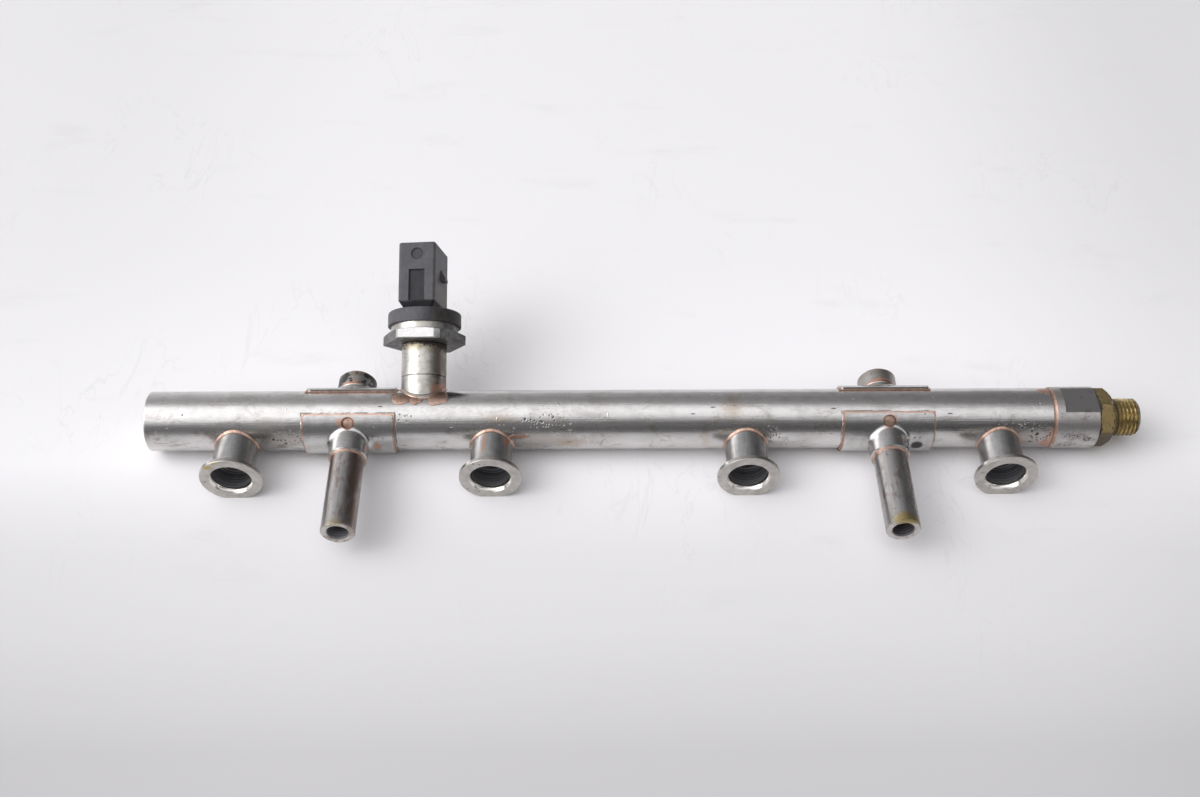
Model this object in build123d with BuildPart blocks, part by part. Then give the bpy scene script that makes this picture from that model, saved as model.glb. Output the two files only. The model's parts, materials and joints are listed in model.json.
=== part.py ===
# Fuel rail of a four-cylinder engine: a closed steel tube feeds four flanged injector
# cups. Two bolt sleeves pass through the tube and are held by saddle plates. A pressure
# sensor stands on a boss, and a brass union screws into the adapter at the inlet end.
# The steel pieces are joined with copper braze.
#
# Rail frame: X runs along the tube, with zero at the middle of the row of cups. The cups
# open towards -Y and Z is up. Lengths are in millimetres and angles in degrees.

import os
from math import asin, atan2, cos, degrees, hypot, radians, sin

from build123d import *

os.makedirs("parts", exist_ok=True)

# Tube and the plug that closes its left end
tube_diameter = 22.2
tube_wall = 1.5
tube_left_overhang = 33.2
tube_right_overhang = 20.5
tube_edge_round = 0.6
plug_length = 6.0
plug_wall = 1.8
plug_inset = 0.4
plug_inner_chamfer = 0.9

# Gap between pieces that are brazed or pressed together, on the radius
braze_gap = 0.05

# Injector cups
cup_count = 4
cup_pitch = 94.0
cup_drop = 2.25
cup_reach = 26.3
neck_diameter = 15.4
neck_root_chamfer = 0.6
flange_diameter = 22.8
flange_thickness = 1.8
flange_edge_chamfer = 0.3
flange_flat_height = 10.3
cup_bore_diameter = 13.5
cup_bore_depth = 8.0
cup_mouth_diameter = 15.6
cup_mouth_depth = 2.2
cup_mouth_curve = 3.0
cup_well_diameter = 10.0
cup_well_depth = 12.0
cup_step_slope_depth = 1.0
cup_feed_diameter = 5.0
cup_bead = 0.7
bead_chamfer = 0.5

# Bolt sleeves
sleeve_spacing = 198.5
sleeve_diameter = 12.3
sleeve_bore = 7.4
sleeve_front_reach = 51.5
sleeve_back_reach = 20.1
sleeve_chamfer = 0.5
sleeve_bore_chamfer = 0.5

# Saddle plates with their drawn collars
saddle_length = 33.0
saddle_wrap = 60.0
saddle_thickness = 1.2
saddle_corner_round = 1.6
saddle_bead = 0.5
collar_wall = 1.0
collar_reach = 18.9
collar_root_round = 2.2
collar_mouth_chamfer = 0.4
collar_bead = 0.7
vent_diameter = 4.2
vent_angle = 45.0

# Sensor boss
sensor_offset = 26.25
sensor_rise = 31.0
boss_diameter = 16.8
boss_reach = 28.55
boss_chamfer = 0.4
boss_groove_reach = 16.0
boss_groove_width = 0.35
boss_groove_depth = 0.3
boss_passage = 5.0
boss_bead = 0.7

# Sensor body
sensor_shank_diameter = 12.0
sensor_shank_length = 11.5
sensor_shank_chamfer = 0.8
sensor_seal_thickness = 1.5
sensor_seal_width = 2.8
sensor_seal_chamfer = 0.4
sensor_port = 3.0
hex_across_flats = 27.0
hex_thickness = 4.3
hex_chamfer_depth = 0.9
hex_turn = -2.3
shoulder_diameter = 25.2
shoulder_height = 2.55
cell_room_diameter = 12.0
cell_floor = 2.0
cell_diameter = 10.0
cell_thickness = 1.6
cell_chamfer = 0.3
board_diameter = 16.0
board_thickness = 1.2
board_depth = 2.0

# Sensor housing with its plug socket
housing_base_diameter = 27.5
housing_base_height = 5.3
housing_base_round = 0.9
housing_turn = -7.2
housing_neck_height = 3.0
housing_neck_slope = 33.0
connector_width = 14.0
connector_shift = 0.8
connector_depth = 21.5
connector_height = 22.3
connector_edge_round = 1.1
connector_top_chamfer = 0.4
socket_wall = 1.6
socket_depth = 14.0
socket_edge_round = 0.8
mark_diameter = 4.1
mark_drop = 4.4
mark_depth = 0.35
panel_width = 6.0
panel_height = 11.9
panel_depth = 0.8
latch_drop = 8.2
latch_height = 4.6
latch_ramp = 3.6
latch_width = 4.0
latch_reach = 1.8
latch_setback = 1.0
pin_count = 3
pin_pitch = 5.0
pin_width = 2.4
pin_thickness = 0.8
pin_point = 0.25
pin_reach = 6.5

# Inlet adapter
adapter_step = 0.35
adapter_length = 15.9
adapter_spigot_length = 8.0
adapter_bore = 8.0
adapter_chamfer = 0.5
adapter_collar_length = 2.9
adapter_across_flats = 19.6
adapter_thread_depth = 12.0
adapter_bead_length = 1.4
adapter_bead_curve = 4.2

# Inlet union
union_thread_diameter = 14.0
union_thread_length = 10.0
union_hex_across_flats = 19.0
union_hex_length = 6.1
union_hex_chamfer_depth = 1.9
union_hex_chamfer_land = 19.5
union_hex_turn = 42.0
union_relief_diameter = 12.4
union_relief_length = 1.6
union_nose_length = 10.5
union_nose_chamfer = 1.1
union_bore = 8.0
union_mouth_diameter = 10.4

# Radii and places that follow from the sizes above
cup_places = [(number - (cup_count - 1) / 2) * cup_pitch for number in range(cup_count)]
sleeve_places = {"left": -sleeve_spacing / 2, "right": sleeve_spacing / 2}
sensor_place = sleeve_places["left"] + sensor_offset
tube_left_end = cup_places[0] - tube_left_overhang
tube_right_end = cup_places[-1] + tube_right_overhang
tube_radius = tube_diameter / 2
tube_bore_radius = tube_radius - tube_wall
neck_radius = neck_diameter / 2
sleeve_radius = sleeve_diameter / 2
collar_radius = sleeve_radius + braze_gap + collar_wall
boss_radius = boss_diameter / 2
adapter_radius = tube_radius + adapter_step
adapter_right_end = tube_right_end + adapter_length
union_hex_end = adapter_right_end + union_hex_length
shoulder_top = boss_reach + hex_thickness + shoulder_height
housing_base_top = shoulder_top + housing_base_height
connector_bottom = housing_base_top + housing_neck_height
connector_top = connector_bottom + connector_height
socket_floor = connector_top - socket_depth
board_top = shoulder_top - board_depth + board_thickness
seal_bottom = boss_reach - sensor_shank_length - sensor_seal_thickness
sleeve_sides = {"front": -1, "back": 1}

# Longer than any cut, and the tolerance and place along an edge used to recognise it
far = 400.0
same_size = 0.01
edge_sample = 0.37

# Planes: x is the radius and y the axis on a turning plane, z is the axis on a cross plane
sensor_axis = Vector(0, cos(radians(sensor_rise)), sin(radians(sensor_rise)))
tube_turning = Plane((0, 0, 0), x_dir=(0, -1, 0), z_dir=(0, 0, 1))
tube_cross = Plane((0, 0, 0), x_dir=(0, 1, 0), z_dir=(1, 0, 0))
sensor_cross = Plane((sensor_place, 0, 0), x_dir=(1, 0, 0), z_dir=sensor_axis)
housing_side = sensor_cross.x_dir.rotate(Axis(sensor_cross.origin, sensor_axis), housing_turn)
housing_cross = Plane(
    sensor_cross.origin - housing_side * connector_shift,
    x_dir=housing_side,
    z_dir=sensor_axis,
)


def turning_plane(cross):
    return Plane(cross.origin, x_dir=cross.x_dir, z_dir=cross.x_dir.cross(cross.z_dir))


def cup_cross(place):
    return Plane((place, 0, -cup_drop), x_dir=(1, 0, 0), z_dir=(0, -1, 0))


def sleeve_cross(place, side):
    return Plane((place, 0, 0), x_dir=(-side, 0, 0), z_dir=(0, side, 0))


def tube_axis_distance(point):
    return hypot(point.Y, point.Z)


def on_tube_layer(shape, radius):
    return abs(tube_axis_distance(shape @ edge_sample) - radius) < same_size


def on_pipe(shape, place, radius):
    point = shape @ edge_sample
    return abs(hypot(point.X - place, point.Z) - radius) < same_size


# What is cut away from a piece that sits on the outside of the tube
with BuildPart() as tube_space:
    with BuildSketch(tube_cross):
        Circle(tube_radius)
    extrude(amount=far, both=True)


def make_rail_tube():
    with BuildPart() as tube:
        with BuildSketch(tube_cross.offset(tube_left_end)):
            Circle(tube_radius)
            Circle(tube_bore_radius, mode=Mode.SUBTRACT)
        extrude(amount=tube_right_end - tube_left_end)
        left_edge = tube.faces().sort_by(Axis.X)[0].edges().sort_by(SortBy.LENGTH)[-1]
        fillet(left_edge, tube_edge_round)
        for place in cup_places:
            with BuildSketch(cup_cross(place)):
                Circle(cup_feed_diameter / 2)
            extrude(amount=far, mode=Mode.SUBTRACT)
        for place in sleeve_places.values():
            with BuildSketch(sleeve_cross(place, 1)):
                Circle(sleeve_radius + braze_gap)
            extrude(amount=far, both=True, mode=Mode.SUBTRACT)
        with BuildSketch(sensor_cross):
            Circle(boss_passage / 2)
        extrude(amount=far, mode=Mode.SUBTRACT)
    return tube


def make_end_plug():
    radius = tube_bore_radius - braze_gap
    face = tube_left_end + plug_inset
    with BuildPart() as plug:
        with BuildSketch(tube_turning):
            with BuildLine():
                Polyline(
                    (0, face),
                    (radius, face),
                    (radius, face + plug_length),
                    (radius - plug_wall, face + plug_length),
                    (radius - plug_wall, face + plug_wall),
                    (0, face + plug_wall),
                    close=True,
                )
            make_face()
        revolve(axis=Axis.X)
        inner_corner = plug.edges().filter_by(GeomType.CIRCLE).sort_by(Axis.X)[-3]
        chamfer(inner_corner, plug_inner_chamfer)
    return plug


def make_injector_cup(place):
    cross = cup_cross(place)
    neck_top = cup_reach - flange_thickness
    bore_radius = cup_bore_diameter / 2
    well_radius = cup_well_diameter / 2
    feed_radius = cup_feed_diameter / 2
    flange_radius = flange_diameter / 2
    with BuildPart() as cup:
        with BuildSketch(turning_plane(cross)):
            with BuildLine():
                section = Polyline(
                    (bore_radius, cup_reach - cup_mouth_depth),
                    (bore_radius, cup_reach - cup_bore_depth),
                    (well_radius, cup_reach - cup_bore_depth - cup_step_slope_depth),
                    (well_radius, cup_reach - cup_well_depth),
                    (feed_radius, cup_reach - cup_well_depth),
                    (feed_radius, 0),
                    (neck_radius, 0),
                    (neck_radius, neck_top - neck_root_chamfer),
                    (neck_radius + neck_root_chamfer, neck_top),
                    (flange_radius - flange_edge_chamfer, neck_top),
                    (flange_radius, neck_top + flange_edge_chamfer),
                    (flange_radius, cup_reach - flange_edge_chamfer),
                    (flange_radius - flange_edge_chamfer, cup_reach),
                    (cup_mouth_diameter / 2, cup_reach),
                )
                RadiusArc(section @ 0, section @ 1, cup_mouth_curve)
            make_face()
        revolve(axis=Axis(cross.origin, cross.z_dir))
        with BuildSketch(cross.offset(neck_top - neck_root_chamfer)):
            with Locations((0, -flange_flat_height)):
                Rectangle(flange_diameter, flange_diameter, align=(Align.CENTER, Align.MAX))
        extrude(amount=cup_reach, mode=Mode.SUBTRACT)
        add(tube_space.part, mode=Mode.SUBTRACT)
    return cup


def make_root_bead(cross, pipe_radius, bead):
    # Braze that follows the corner between the tube and a round piece standing on it
    with BuildPart() as ring:
        with BuildSketch(cross):
            Circle(pipe_radius + bead)
            Circle(pipe_radius, mode=Mode.SUBTRACT)
        extrude(amount=far)
        with BuildSketch(tube_cross):
            Circle(tube_radius + bead)
            Circle(tube_radius, mode=Mode.SUBTRACT)
        extrude(amount=far, both=True, mode=Mode.INTERSECT)
        outer = ring.edges().filter_by(lambda edge: on_tube_layer(edge, tube_radius + bead))
        chamfer(outer.sort_by(SortBy.LENGTH)[-1], bead_chamfer)
    return ring


def make_bolt_sleeve(place):
    cross = sleeve_cross(place, -1)
    with BuildPart() as sleeve:
        with BuildSketch(cross.offset(-sleeve_back_reach)):
            Circle(sleeve_radius)
            Circle(sleeve_bore / 2, mode=Mode.SUBTRACT)
        extrude(amount=sleeve_back_reach + sleeve_front_reach)
        for end in (sleeve.faces().sort_by(Axis.Y)[0], sleeve.faces().sort_by(Axis.Y)[-1]):
            rims = end.edges().sort_by(SortBy.LENGTH)
            chamfer(rims[0], sleeve_bore_chamfer)
            chamfer(rims[-1], sleeve_chamfer)
    return sleeve


def saddle_blank(place, side, grow, thickness):
    # Curved strip on the tube, larger than the plate by grow along each edge
    wrap = saddle_wrap + degrees(grow / tube_radius)
    start = (0 if side > 0 else 180) - wrap
    with BuildPart() as blank:
        with BuildSketch(tube_cross.offset(place)):
            with BuildLine():
                outer = CenterArc((0, 0), tube_radius + thickness, start, 2 * wrap)
                inner = CenterArc((0, 0), tube_radius, start, 2 * wrap)
                Line(outer @ 0, inner @ 0)
                Line(outer @ 1, inner @ 1)
            make_face()
        extrude(amount=saddle_length / 2 + grow, both=True)
    return blank.part


def make_saddle(place, side):
    cross = sleeve_cross(place, side)
    vent_dir = Vector(0, side * cos(radians(vent_angle)), sin(radians(vent_angle)))
    plate_top = tube_radius + saddle_thickness
    blank = saddle_blank(place, side, 0, saddle_thickness)
    with BuildPart() as saddle:
        add(blank)
        corners = saddle.edges().filter_by(GeomType.LINE)
        corners = corners.filter_by(lambda edge: abs(edge.length - saddle_thickness) < same_size)
        fillet(corners, saddle_corner_round)
        with BuildSketch(cross):
            Circle(collar_radius)
        extrude(amount=collar_reach)
        add(tube_space.part, mode=Mode.SUBTRACT)
        roots = saddle.edges().filter_by(lambda edge: on_tube_layer(edge, plate_top))
        roots = roots.filter_by(lambda edge: on_pipe(edge, place, collar_radius))
        fillet(roots, collar_root_round)
        mouth = saddle.faces().sort_by(Axis.Y)[0 if side < 0 else -1]
        chamfer(mouth.edges(), collar_mouth_chamfer)
        with BuildSketch(cross):
            Circle(sleeve_radius + braze_gap)
        extrude(amount=far, mode=Mode.SUBTRACT)
        with BuildSketch(Plane((place, 0, 0), x_dir=(1, 0, 0), z_dir=vent_dir)):
            Circle(vent_diameter / 2)
        extrude(amount=far, mode=Mode.SUBTRACT)
    return saddle


def make_saddle_braze(place, side, saddle):
    # Braze that shows round the plate's edge and fills its vent
    blank = saddle_blank(place, side, saddle_bead, saddle_bead)
    with BuildPart() as braze:
        add(blank)
        with BuildSketch(sleeve_cross(place, side)):
            Circle(collar_radius)
        extrude(amount=far, mode=Mode.SUBTRACT)
        add(saddle.part, mode=Mode.SUBTRACT)
    return braze


def make_sleeve_braze(place):
    with BuildPart() as braze:
        for side in sleeve_sides.values():
            cross = sleeve_cross(place, side)
            with BuildSketch(turning_plane(cross)):
                with BuildLine():
                    Polyline(
                        (sleeve_radius, collar_reach + collar_bead),
                        (sleeve_radius, collar_reach),
                        (collar_radius - collar_mouth_chamfer, collar_reach),
                        close=True,
                    )
                make_face()
            revolve(axis=Axis(cross.origin, cross.z_dir))
    return braze


def make_sensor_boss():
    thread_radius = sensor_shank_diameter / 2
    groove_inner = boss_radius - boss_groove_depth
    with BuildPart() as boss:
        with BuildSketch(turning_plane(sensor_cross)):
            with BuildLine():
                Polyline(
                    (boss_passage / 2, 0),
                    (boss_radius, 0),
                    (boss_radius, boss_groove_reach - boss_groove_width / 2),
                    (groove_inner, boss_groove_reach),
                    (boss_radius, boss_groove_reach + boss_groove_width / 2),
                    (boss_radius, boss_reach - boss_chamfer),
                    (boss_radius - boss_chamfer, boss_reach),
                    (thread_radius + braze_gap, boss_reach),
                    (thread_radius + braze_gap, seal_bottom),
                    (boss_passage / 2, seal_bottom),
                    close=True,
                )
            make_face()
        revolve(axis=Axis(sensor_cross.origin, sensor_cross.z_dir))
        add(tube_space.part, mode=Mode.SUBTRACT)
    return boss


def make_sensor_seal():
    outer = sensor_shank_diameter / 2 - braze_gap
    with BuildPart() as seal:
        with BuildSketch(sensor_cross.offset(seal_bottom)):
            Circle(outer)
            Circle(outer - sensor_seal_width, mode=Mode.SUBTRACT)
        extrude(amount=sensor_seal_thickness)
        chamfer(seal.edges(), sensor_seal_chamfer)
    return seal


def make_sensor_body():
    hex_top = boss_reach + hex_thickness
    corner_radius = hex_across_flats / 2 / cos(radians(30))
    with BuildPart() as body:
        with BuildSketch(sensor_cross.offset(boss_reach)):
            RegularPolygon(corner_radius, 6, rotation=hex_turn)
        extrude(amount=hex_thickness)
        with BuildSketch(turning_plane(sensor_cross)):
            with BuildLine():
                Polyline(
                    (0, boss_reach),
                    (corner_radius, boss_reach),
                    (corner_radius, hex_top - hex_chamfer_depth),
                    (shoulder_diameter / 2, hex_top),
                    (0, hex_top),
                    close=True,
                )
            make_face()
        revolve(axis=Axis(sensor_cross.origin, sensor_cross.z_dir), mode=Mode.INTERSECT)
        with BuildSketch(sensor_cross.offset(hex_top)):
            Circle(shoulder_diameter / 2)
        extrude(amount=shoulder_height)
        with BuildSketch(sensor_cross.offset(boss_reach - sensor_shank_length)):
            Circle(sensor_shank_diameter / 2)
        extrude(amount=sensor_shank_length)
        tip = body.faces().sort_by(Axis(sensor_cross.origin, sensor_cross.z_dir))[0]
        chamfer(tip.edges(), sensor_shank_chamfer)
        with BuildSketch(sensor_cross):
            Circle(sensor_port / 2)
        extrude(amount=far, mode=Mode.SUBTRACT)
        with BuildSketch(sensor_cross.offset(boss_reach + cell_floor)):
            Circle(cell_room_diameter / 2)
        extrude(amount=far, mode=Mode.SUBTRACT)
        with BuildSketch(sensor_cross.offset(shoulder_top - board_depth)):
            Circle(board_diameter / 2 + braze_gap)
        extrude(amount=far, mode=Mode.SUBTRACT)
    return body


def make_sensor_cell():
    with BuildPart() as cell:
        with BuildSketch(sensor_cross.offset(boss_reach + cell_floor)):
            Circle(cell_diameter / 2)
        extrude(amount=cell_thickness)
        chamfer(cell.edges().sort_by(Axis(sensor_cross.origin, sensor_cross.z_dir))[-1], cell_chamfer)
    return cell


def make_sensor_board():
    with BuildPart() as board:
        with BuildSketch(sensor_cross.offset(shoulder_top - board_depth)):
            Circle(board_diameter / 2)
        extrude(amount=board_thickness)
    return board


def make_sensor_pin(number):
    offset = (number - (pin_count - 1) / 2) * pin_pitch
    with BuildPart() as pin:
        with BuildSketch(housing_cross.offset(board_top)):
            with Locations((0, offset)):
                Rectangle(pin_width, pin_thickness)
        extrude(amount=socket_floor + pin_reach - board_top)
        tip = pin.faces().sort_by(Axis(sensor_cross.origin, sensor_cross.z_dir))[-1]
        chamfer(tip.edges(), pin_point)
    return pin


def make_sensor_housing():
    axis = Axis(sensor_cross.origin, sensor_cross.z_dir)
    middle = Plane(housing_cross.origin, x_dir=housing_cross.x_dir, z_dir=-housing_cross.y_dir)
    front_face = middle.offset(connector_depth / 2)
    latch_top = connector_top - latch_drop
    side = connector_width / 2
    with BuildPart() as housing:
        with BuildSketch(sensor_cross.offset(shoulder_top)):
            Circle(housing_base_diameter / 2)
        extrude(amount=housing_base_height)
        fillet(housing.faces().sort_by(axis)[-1].edges(), housing_base_round)
        with BuildSketch(housing_cross.offset(connector_bottom)):
            RectangleRounded(connector_width, connector_depth, connector_edge_round)
        extrude(amount=connector_height)
        chamfer(housing.faces().sort_by(axis)[-1].edges(), connector_top_chamfer)
        with BuildSketch(housing_cross.offset(connector_bottom)):
            RectangleRounded(connector_width, connector_depth, connector_edge_round)
        extrude(amount=-housing_neck_height, taper=housing_neck_slope)
        with BuildSketch(housing_cross.offset(connector_top)):
            RectangleRounded(
                connector_width - 2 * socket_wall,
                connector_depth - 2 * socket_wall,
                socket_edge_round,
            )
        extrude(amount=-socket_depth, mode=Mode.SUBTRACT)
        with BuildSketch(front_face):
            with Locations((0, connector_top - mark_drop)):
                Circle(mark_diameter / 2)
        extrude(amount=-mark_depth, mode=Mode.SUBTRACT)
        with BuildSketch(front_face):
            with Locations((0, connector_bottom)):
                Rectangle(panel_width, panel_height, align=(Align.CENTER, Align.MIN))
        extrude(amount=-panel_depth, mode=Mode.SUBTRACT)
        with BuildSketch(housing_cross.offset(board_top)):
            with GridLocations(pin_width, pin_pitch, 1, pin_count):
                Rectangle(pin_width + 2 * braze_gap, pin_thickness + 2 * braze_gap)
        extrude(amount=connector_top - board_top, mode=Mode.SUBTRACT)
        with BuildSketch(middle.offset(-latch_setback)):
            with BuildLine():
                Polyline(
                    (side - socket_wall / 2, latch_top),
                    (side, latch_top),
                    (side + latch_reach, latch_top - latch_ramp),
                    (side + latch_reach, latch_top - latch_height),
                    (side - socket_wall / 2, latch_top - latch_height),
                    close=True,
                )
            make_face()
        extrude(amount=latch_width / 2, both=True)
    return housing


def make_inlet_adapter():
    with BuildPart() as adapter:
        with BuildSketch(tube_cross.offset(tube_right_end)):
            Circle(adapter_radius)
        extrude(amount=adapter_length)
        chamfer(adapter.faces().sort_by(Axis.X)[-1].edges(), adapter_chamfer)
        with BuildSketch(tube_cross.offset(tube_right_end + adapter_collar_length)):
            with PolarLocations(adapter_across_flats / 2, 2, start_angle=90):
                Rectangle(far, far, align=(Align.MIN, Align.CENTER))
        extrude(amount=adapter_length, mode=Mode.SUBTRACT)
        with BuildSketch(tube_cross.offset(tube_right_end)):
            Circle(tube_bore_radius - braze_gap)
        extrude(amount=-adapter_spigot_length)
        chamfer(adapter.faces().sort_by(Axis.X)[0].edges(), adapter_chamfer)
        with BuildSketch(tube_cross.offset(adapter_right_end)):
            Circle(union_thread_diameter / 2 + braze_gap)
        extrude(amount=-adapter_thread_depth, mode=Mode.SUBTRACT)
        with BuildSketch(tube_cross.offset(adapter_right_end)):
            Circle(adapter_bore / 2)
        extrude(amount=-far, mode=Mode.SUBTRACT)
    return adapter


def make_adapter_braze():
    with BuildPart() as ring:
        with BuildSketch(tube_turning):
            with BuildLine():
                corner = Polyline(
                    (tube_radius, tube_right_end - adapter_bead_length),
                    (tube_radius, tube_right_end),
                    (adapter_radius, tube_right_end),
                )
                RadiusArc(corner @ 1, corner @ 0, -adapter_bead_curve)
            make_face()
        revolve(axis=Axis.X)
    return ring


def make_inlet_union():
    thread_radius = union_thread_diameter / 2
    relief_radius = union_relief_diameter / 2
    nose_end = union_hex_end + union_nose_length
    corner_radius = union_hex_across_flats / 2 / cos(radians(30))
    with BuildPart() as union:
        with BuildSketch(tube_cross.offset(adapter_right_end)):
            RegularPolygon(corner_radius, 6, rotation=union_hex_turn)
        extrude(amount=union_hex_length)
        with BuildSketch(tube_turning):
            with BuildLine():
                Polyline(
                    (0, adapter_right_end),
                    (corner_radius, adapter_right_end),
                    (corner_radius, union_hex_end - union_hex_chamfer_depth),
                    (union_hex_chamfer_land / 2 - union_hex_chamfer_depth / 2, union_hex_end),
                    (0, union_hex_end),
                    close=True,
                )
            make_face()
        revolve(axis=Axis.X, mode=Mode.INTERSECT)
        with BuildSketch(tube_turning):
            with BuildLine():
                Polyline(
                    (0, adapter_right_end - union_thread_length),
                    (thread_radius - union_nose_chamfer, adapter_right_end - union_thread_length),
                    (thread_radius, adapter_right_end - union_thread_length + union_nose_chamfer),
                    (thread_radius, adapter_right_end),
                    (relief_radius, adapter_right_end),
                    (relief_radius, union_hex_end + union_relief_length),
                    (thread_radius, union_hex_end + union_relief_length),
                    (thread_radius, nose_end - union_nose_chamfer),
                    (thread_radius - union_nose_chamfer, nose_end),
                    (0, nose_end),
                    close=True,
                )
            make_face()
        revolve(axis=Axis.X)
        with BuildSketch(tube_turning):
            with BuildLine():
                seat_depth = (union_mouth_diameter - union_bore) / 2
                Polyline(
                    (0, adapter_right_end - union_thread_length),
                    (union_bore / 2, adapter_right_end - union_thread_length),
                    (union_bore / 2, nose_end - seat_depth),
                    (union_mouth_diameter / 2, nose_end),
                    (0, nose_end),
                    close=True,
                )
            make_face()
        revolve(axis=Axis.X, mode=Mode.SUBTRACT)
    return union


pieces = {
    "rail_tube": make_rail_tube(),
    "end_plug": make_end_plug(),
    "inlet_adapter": make_inlet_adapter(),
    "adapter_braze": make_adapter_braze(),
    "inlet_union": make_inlet_union(),
    "sensor_boss": make_sensor_boss(),
    "boss_braze": make_root_bead(sensor_cross, boss_radius, boss_bead),
    "sensor_seal": make_sensor_seal(),
    "sensor_body": make_sensor_body(),
    "sensor_cell": make_sensor_cell(),
    "sensor_board": make_sensor_board(),
    "sensor_housing": make_sensor_housing(),
}
for number in range(pin_count):
    pieces[f"sensor_pin_{number + 1}"] = make_sensor_pin(number)
for number, place in enumerate(cup_places, start=1):
    pieces[f"injector_cup_{number}"] = make_injector_cup(place)
    pieces[f"cup_braze_{number}"] = make_root_bead(cup_cross(place), neck_radius, cup_bead)
for end, place in sleeve_places.items():
    pieces[f"bolt_sleeve_{end}"] = make_bolt_sleeve(place)
    pieces[f"sleeve_braze_{end}"] = make_sleeve_braze(place)
    for face, side in sleeve_sides.items():
        saddle = make_saddle(place, side)
        pieces[f"saddle_{face}_{end}"] = saddle
        pieces[f"saddle_braze_{face}_{end}"] = make_saddle_braze(place, side, saddle)

# The rail lies on its adapter and on the flats of the cup flanges, with the cups' mouths
# lifted a little. The origin is the middle of the box round it, on the ground.
flat_depth = flange_flat_height + cup_drop
flat_reach = cup_reach - flange_thickness
rest_lift = degrees(atan2(flat_depth, flat_reach) - asin(adapter_radius / hypot(flat_depth, flat_reach)))
lying = Rotation(-rest_lift, 0, 0)
box = Compound(children=[lying * piece.part for piece in pieces.values()]).bounding_box()
shift = Location((-box.center().X, -box.center().Y, -box.min.Z))
for name, piece in pieces.items():
    solid = shift * lying * piece.part
    solid.label = name
    export_step(solid, f"parts/{name}.step")
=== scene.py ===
import json
import math

import bmesh
import bpy
from mathutils import Matrix, Vector, noise

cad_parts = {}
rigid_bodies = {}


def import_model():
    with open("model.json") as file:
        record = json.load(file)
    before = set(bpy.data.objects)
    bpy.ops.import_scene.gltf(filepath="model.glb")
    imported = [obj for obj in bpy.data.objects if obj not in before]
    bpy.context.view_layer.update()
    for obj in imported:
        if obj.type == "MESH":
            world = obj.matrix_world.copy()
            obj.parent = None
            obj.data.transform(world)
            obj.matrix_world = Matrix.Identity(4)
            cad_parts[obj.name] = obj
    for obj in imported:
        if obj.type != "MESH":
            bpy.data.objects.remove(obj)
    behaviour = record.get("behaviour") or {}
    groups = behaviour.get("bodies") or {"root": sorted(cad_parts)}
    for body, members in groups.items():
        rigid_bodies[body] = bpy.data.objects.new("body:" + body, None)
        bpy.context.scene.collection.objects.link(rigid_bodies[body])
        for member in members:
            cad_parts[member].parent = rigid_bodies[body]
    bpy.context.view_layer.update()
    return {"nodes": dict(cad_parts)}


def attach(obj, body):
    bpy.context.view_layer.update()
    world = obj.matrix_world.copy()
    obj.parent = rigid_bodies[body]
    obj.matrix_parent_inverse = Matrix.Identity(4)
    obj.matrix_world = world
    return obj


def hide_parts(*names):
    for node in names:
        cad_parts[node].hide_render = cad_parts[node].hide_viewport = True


for spare in list(bpy.data.objects):
    bpy.data.objects.remove(spare)
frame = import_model()
cad = frame["nodes"]
print("frame loaded,", len(cad), "nodes")

mm = 0.001

# Where things are, in millimetres. The rail's own frame has its origin on the tube's axis
# and is rolled by lean, so that the cups and the sleeves' front ends point along its -y.
rail = {
    "axisPoint": (0.0, -5.811, 11.45),
    "lean": -2.5444,
    "tubeRadius": 11.1,
    "firstCup": -150.9,
    "cupPitch": 94.0,
    "cupDrop": 2.25,
    "cupReach": 26.3,
    "leftSleeve": -109.15,
    "sleevePitch": 198.5,
    "sleeveFront": 51.5,
    "sleeveBack": 20.1,
    "saddleHalf": 16.5,
    "saddleWrap": 60.0,
    "ventRadius": 2.1,
    "sensorX": -82.9,
    "sensorRise": 31.0,
}


class Shade:
    # one output socket of a shader; Python's operators on it add Math nodes
    def __init__(self, tree, socket=None):
        self.tree = tree
        self.socket = socket

    def node(self, kind, sockets=None, out=0, stops=None, **settings):
        made = self.tree.nodes.new("ShaderNode" + kind)
        for name, value in settings.items():
            setattr(made, name, value)
        if stops:
            ramp = made.color_ramp.elements
            while len(ramp) < len(stops):
                ramp.new(0.5)
            for element, (place, grey) in zip(ramp, stops):
                element.position = place
                element.color = (grey, grey, grey, 1.0)
        for key, value in (sockets or {}).items():
            if isinstance(value, Shade):
                self.tree.links.new(value.socket, made.inputs[key])
            elif value is not None:
                made.inputs[key].default_value = value
        return Shade(self.tree, made.outputs[out] if made.outputs else None)

    def maths(self, operation, *values):
        return self.node("Math", dict(enumerate(values)), operation=operation)

    def vector(self, operation, *values, out=0):
        return self.node("VectorMath", dict(enumerate(values)), operation=operation, out=out)

    def __add__(self, other):
        return self.maths("ADD", self, other)

    def __sub__(self, other):
        return self.maths("SUBTRACT", self, other)

    def __rsub__(self, other):
        return self.maths("SUBTRACT", other, self)

    def __mul__(self, other):
        return self.maths("MULTIPLY", self, other)

    __radd__ = __add__
    __rmul__ = __mul__

    def step(self, low, high):
        # 0 at low, 1 at high, eased; low may be the larger
        ends = {0: self, 1: low, 2: high, 3: 0.0, 4: 1.0}
        return self.node("MapRange", ends, interpolation_type="SMOOTHSTEP")

    def larger(self, other):
        return self.maths("MAXIMUM", self, other)

    def smaller(self, other):
        return self.maths("MINIMUM", self, other)

    def colour(self, first, second):
        # first where this is 0, second where it is 1
        ends = [value if isinstance(value, Shade) else (*value, 1.0) for value in (first, second)]
        return self.node("Mix", {0: self, 6: ends[0], 7: ends[1]}, out=2, data_type="RGBA")


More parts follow.
